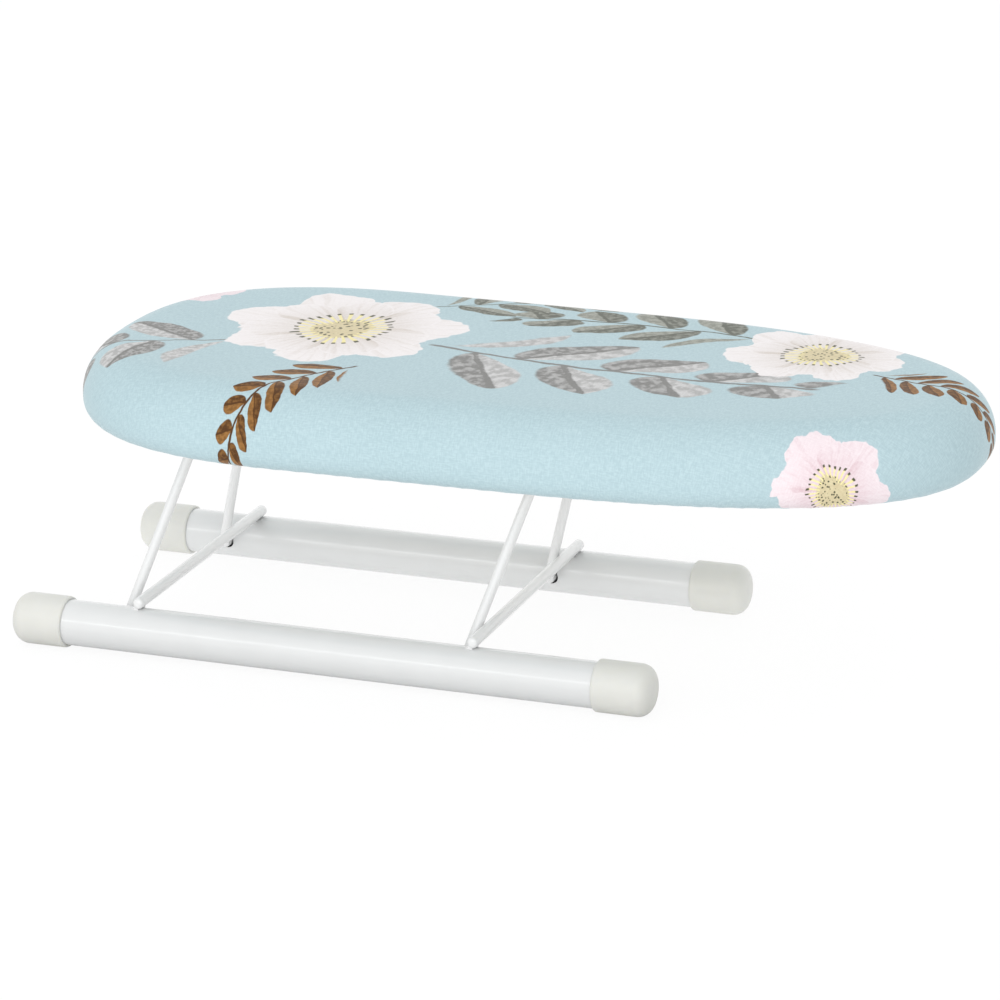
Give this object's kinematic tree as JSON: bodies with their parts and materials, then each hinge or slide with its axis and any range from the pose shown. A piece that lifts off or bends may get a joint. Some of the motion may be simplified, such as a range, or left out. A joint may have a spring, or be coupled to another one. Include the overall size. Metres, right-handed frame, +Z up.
{
  "type": "tabletop ironing board",
  "caption": "Padded cotton-covered tabletop ironing board on wire legs that fold down onto capped tubular feet tied by cross rods, with a free nose for sleeves.",
  "frame": {"origin": "on the table, below the middle of the object's box", "axes": "+X from the broad tail of the board towards its free nose, +Y to the rear foot, +Z up"},
  "size_m": [0.5218, 0.235, 0.1652],
  "materials": {
    "white_paint": "glossy white powder coat on steel",
    "cap_plastic": "satin off-white moulded plastic",
    "cotton": "printed plain-weave cotton, pale blue ground",
    "foam": "soft open-cell sponge",
    "fibreboard": "fibreboard with a pale paper face",
    "zinc_steel": "zinc-plated steel"
  },
  "bodies": {
    "base": {"front_foot_tube": "white_paint", "rear_foot_tube": "white_paint", "front_left_end_cap": "cap_plastic", "front_right_end_cap": "cap_plastic", "rear_left_end_cap": "cap_plastic", "rear_right_end_cap": "cap_plastic", "left_cross_rod": "white_paint", "right_cross_rod": "white_paint"},
    "left_leg": {"left_leg_frame": "white_paint"},
    "right_leg": {"right_leg_frame": "white_paint"},
    "board": {"board_core": "fibreboard", "foam_pad": "foam", "cotton_cover": "cotton", "cover_hem": "cotton", "left_front_clip": "white_paint", "left_rear_clip": "white_paint", "right_front_clip": "white_paint", "right_rear_clip": "white_paint", "left_front_clip_tail_screw": "zinc_steel", "left_front_clip_nose_screw": "zinc_steel", "left_rear_clip_tail_screw": "zinc_steel", "left_rear_clip_nose_screw": "zinc_steel", "right_front_clip_tail_screw": "zinc_steel", "right_front_clip_nose_screw": "zinc_steel", "right_rear_clip_tail_screw": "zinc_steel", "right_rear_clip_nose_screw": "zinc_steel"}
  },
  "joints": [
    {"name": "left_leg_fold", "type": "hinge", "parent": "base", "child": "left_leg", "pos_m": [-0.20328, 0, 0.0141], "axis": [0, -1, 0], "range_deg": [0, 95]},
    {"name": "right_leg_fold", "type": "hinge", "parent": "base", "child": "right_leg", "pos_m": [-0.00528, 0, 0.0141], "axis": [0, -1, 0], "range_deg": [0, 95]},
    {"name": "board_level", "type": "hinge", "parent": "left_leg", "child": "board", "pos_m": [-0.16852, 0, 0.1211], "axis": [0, -1, 0], "range_deg": [-95, 0]}
  ],
  "couplings": [
    {"joint": "right_leg_fold", "follows": "left_leg_fold", "ratio": 1},
    {"joint": "board_level", "follows": "left_leg_fold", "ratio": -1}
  ]
}
